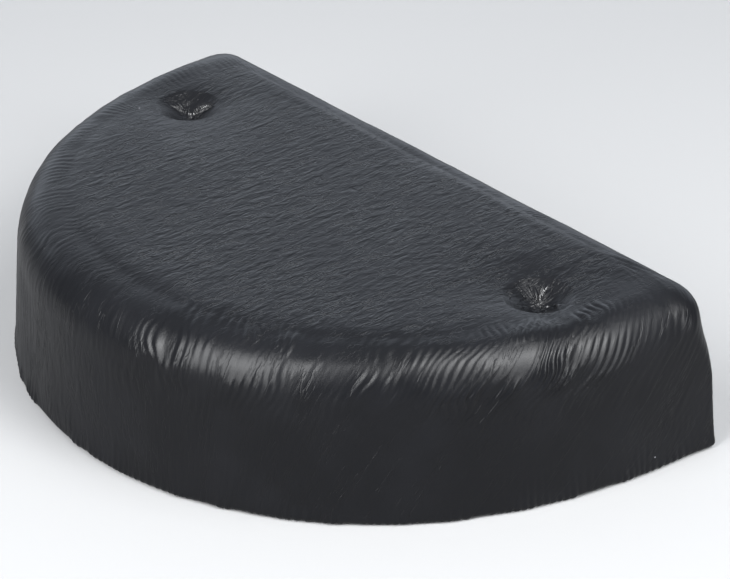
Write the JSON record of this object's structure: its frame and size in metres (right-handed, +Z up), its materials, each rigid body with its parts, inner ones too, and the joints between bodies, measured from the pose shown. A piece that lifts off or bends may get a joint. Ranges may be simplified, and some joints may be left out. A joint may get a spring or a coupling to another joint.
{
  "type": "chair armrest pad",
  "caption": "D-shaped upholstered armrest pad: foam on a plywood base under a tufted vinyl cover, with threaded inserts underneath for bolting to a chair arm.",
  "frame": {"origin": "under the middle of the pad's bounding box, on the plane the pad rests on", "axes": "+X along the straight back edge, +Y towards that edge, +Z up through the padded top"},
  "size_m": [0.2298, 0.1399, 0.05],
  "materials": {
    "black_vinyl": "satin",
    "foam": "matte",
    "plywood": "matte",
    "dust_cloth": "matte",
    "cotton_tape": "matte",
    "staple_wire": "satin",
    "zinc_steel": "satin"
  },
  "bodies": {
    "root": {"base_board": "plywood", "foam_core": "foam", "vinyl_cover": "black_vinyl", "dust_cover": "dust_cloth", "hem_staples": "staple_wire", "dust_cover_staples": "staple_wire", "tuft_tape_left": "cotton_tape", "tuft_tape_right": "cotton_tape", "tuft_tape_staples": "staple_wire", "tee_nut_left": "zinc_steel", "tee_nut_right": "zinc_steel"}
  },
  "joints": []
}
